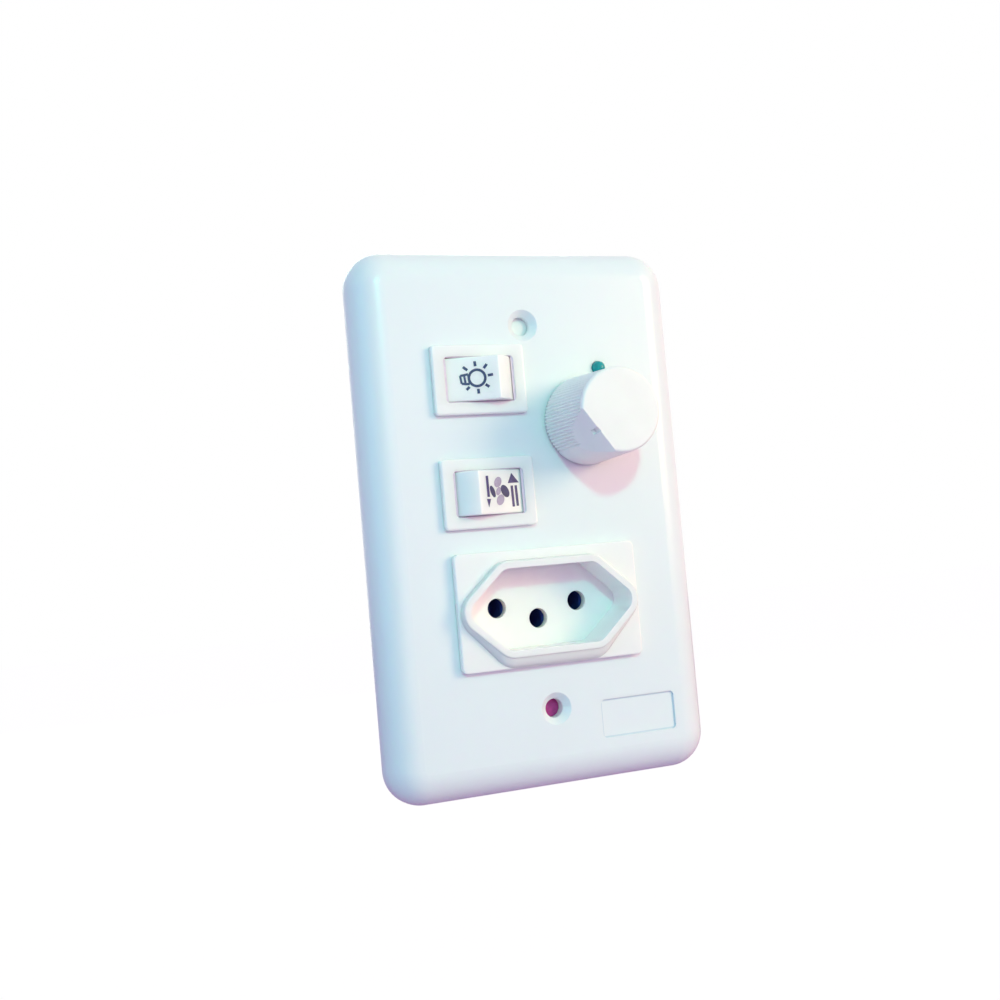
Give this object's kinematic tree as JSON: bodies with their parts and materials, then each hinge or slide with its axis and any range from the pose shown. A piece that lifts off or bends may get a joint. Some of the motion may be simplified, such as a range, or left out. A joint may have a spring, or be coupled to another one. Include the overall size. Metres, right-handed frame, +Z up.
{
  "type": "fan speed control switch",
  "caption": "Wall plate with a turning fan speed knob, rocker switches for light and direction, a pilot lamp and a recessed socket for a plug with round pins.",
  "frame": {"origin": "on the wall plane, midway between the two fixing screws", "axes": "+X to the right and +Z up as seen from the room, +Y into the wall"},
  "size_m": [0.075, 0.0521, 0.1174],
  "materials": {
    "plate_plastic": "moulded, semi-gloss, cool white",
    "module_plastic": "moulded, glossy, warm white",
    "knob_plastic": "moulded, satin, warm white",
    "carrier_plastic": "moulded, matt, blue-black",
    "lens_plastic": "clear tinted, teal",
    "steel": "zinc plated",
    "spring_steel": "bright drawn",
    "brass": "stamped strip",
    "copper": "enamelled copper wire",
    "aluminium": "plain rolled sheet",
    "cast_zinc": "die cast, dull",
    "board_laminate": "phenolic paper laminate",
    "wafer_laminate": "phenolic wafer",
    "rotor_plastic": "moulded acetal",
    "ferrite": "coated powdered iron",
    "epoxy_black": "moulded epoxy",
    "capacitor_case": "potted plastic box",
    "capacitor_dip": "dipped film",
    "resistor_body": "lacquered, colour bands",
    "diode_glass": "tinted glass",
    "terminal_plastic": "moulded polyamide"
  },
  "bodies": {
    "control": {"face_plate": "plate_plastic", "light_switch_housing": "module_plastic", "light_switch_common_terminal": "brass", "light_switch_right_terminal": "brass", "reverse_switch_housing": "module_plastic", "reverse_switch_common_terminal": "brass", "reverse_switch_right_terminal": "brass", "reverse_switch_left_terminal": "brass", "socket_front": "module_plastic", "socket_contact_carrier": "carrier_plastic", "socket_neutral_contact": "brass", "socket_earth_contact": "brass", "socket_line_contact": "brass", "socket_clamp_screws": "steel", "socket_cover_screws": "steel", "control_bushing": "cast_zinc", "control_can": "steel", "control_track": "wafer_laminate", "control_pins": "steel", "bushing_nut": "steel", "bushing_washer": "steel", "pilot_lamp": "lens_plastic", "pilot_lamp_leads": "steel", "circuit_board": "board_laminate", "choke_core": "ferrite", "choke_winding": "copper", "triac": "epoxy_black", "heat_sink": "aluminium", "heat_sink_screw": "steel", "terminal_block": "terminal_plastic", "terminal_block_screws": "steel", "filter_capacitor": "capacitor_case", "timing_capacitor": "capacitor_dip", "gate_resistors": "resistor_body", "lamp_resistor": "resistor_body", "trigger_diode": "diode_glass", "board_screws": "steel"},
    "light_rocker": {"light_switch_rocker": "module_plastic", "light_switch_plunger": "rotor_plastic", "light_switch_spring": "spring_steel"},
    "light_lever": {"light_switch_lever": "brass"},
    "reverse_rocker": {"reverse_switch_rocker": "module_plastic", "reverse_switch_plunger": "rotor_plastic", "reverse_switch_spring": "spring_steel"},
    "reverse_lever": {"reverse_switch_lever": "brass"},
    "knob": {"speed_knob": "knob_plastic", "control_shaft": "rotor_plastic", "control_wiper": "spring_steel"}
  },
  "joints": [
    {"name": "light_rocker_tilt", "type": "hinge", "parent": "control", "child": "light_rocker", "pos_m": [-0.0115, -0.0045, 0.0299], "axis": [0, 0, 1], "range_deg": [0, 37.4]},
    {"name": "light_lever_tilt", "type": "hinge", "parent": "control", "child": "light_lever", "pos_m": [-0.0115, 0.0013, 0.0299], "axis": [0, 0, 1], "range_deg": [-16, 0]},
    {"name": "reverse_rocker_tilt", "type": "hinge", "parent": "control", "child": "reverse_rocker", "pos_m": [-0.0115, -0.0045, 0.0056], "axis": [0, 0, 1], "range_deg": [-37.4, 0]},
    {"name": "reverse_lever_tilt", "type": "hinge", "parent": "control", "child": "reverse_lever", "pos_m": [-0.0115, 0.0013, 0.0056], "axis": [0, 0, 1], "range_deg": [0, 16]},
    {"name": "speed_knob_turn", "type": "hinge", "parent": "control", "child": "knob", "pos_m": [0.0128, -0.008, 0.0201], "axis": [0, 1, 0], "range_deg": [-24, 276]}
  ],
  "couplings": [
    {"joint": "light_lever_tilt", "follows": "light_rocker_tilt", "ratio": -0.42781},
    {"joint": "reverse_lever_tilt", "follows": "reverse_rocker_tilt", "ratio": -0.42781}
  ]
}
